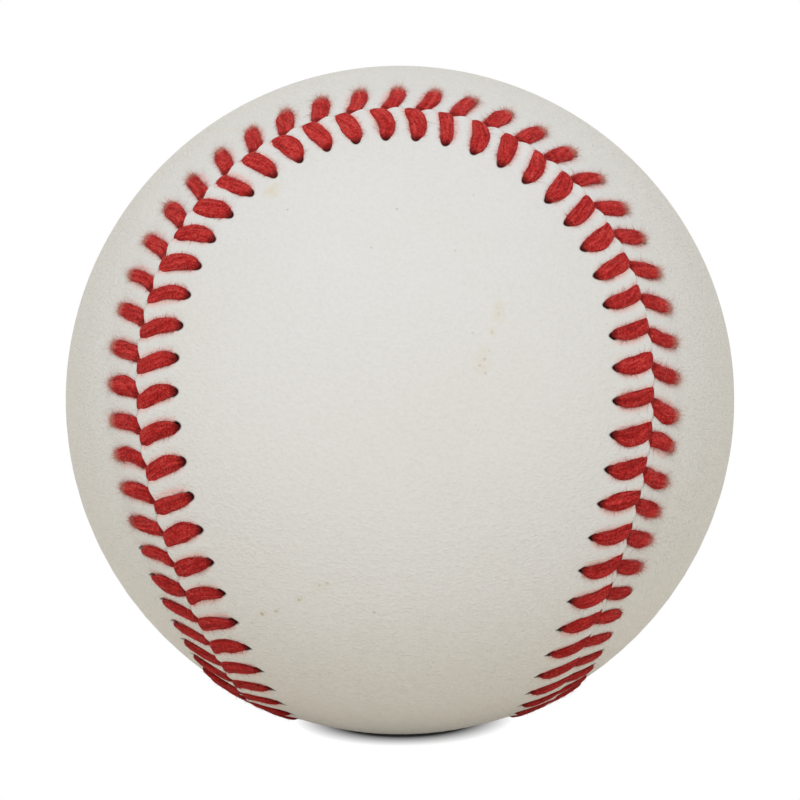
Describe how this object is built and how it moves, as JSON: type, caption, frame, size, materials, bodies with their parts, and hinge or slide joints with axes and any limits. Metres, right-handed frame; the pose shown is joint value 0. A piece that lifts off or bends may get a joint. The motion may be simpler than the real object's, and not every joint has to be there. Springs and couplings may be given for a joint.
{
  "type": "baseball",
  "caption": "Round leather ball for bat-and-ball games: two figure-eight panels sewn together with raised red stitches over a wound yarn and cushioned cork centre",
  "frame": {"origin": "centre of the ball", "axes": "+Z is the two-fold axis of the seam, through the narrow middle of the upper panel; the lower panel's lobes face -Y and +Y and the upper panel's face -X and +X; -Y faces the viewer of the picture"},
  "size_m": [0.0746, 0.0746, 0.0746],
  "materials": {
    "cork": "composition cork, dull",
    "black_rubber": "moulded black rubber",
    "red_rubber": "moulded red rubber",
    "gray_wool": "gray wool yarn, wound tight",
    "white_wool": "white wool yarn, wound tight",
    "finishing_yarn": "white cotton and polyester yarn, wound tight",
    "cement": "dried rubber cement",
    "leather": "white tanned cowhide, fine grain, half matte",
    "thread": "red waxed cotton thread"
  },
  "bodies": {
    "root": {"cork_core": "cork", "black_rubber_lower": "black_rubber", "black_rubber_upper": "black_rubber", "rubber_gasket": "red_rubber", "red_rubber_cover": "red_rubber", "first_wool_winding": "gray_wool", "second_wool_winding": "white_wool", "third_wool_winding": "gray_wool", "finishing_winding": "finishing_yarn", "cement_film_lower": "cement", "cement_film_upper": "cement", "leather_panel_lower": "leather", "leather_panel_upper": "leather", "stitch_thread_one": "thread", "stitch_thread_two": "thread"}
  },
  "joints": []
}
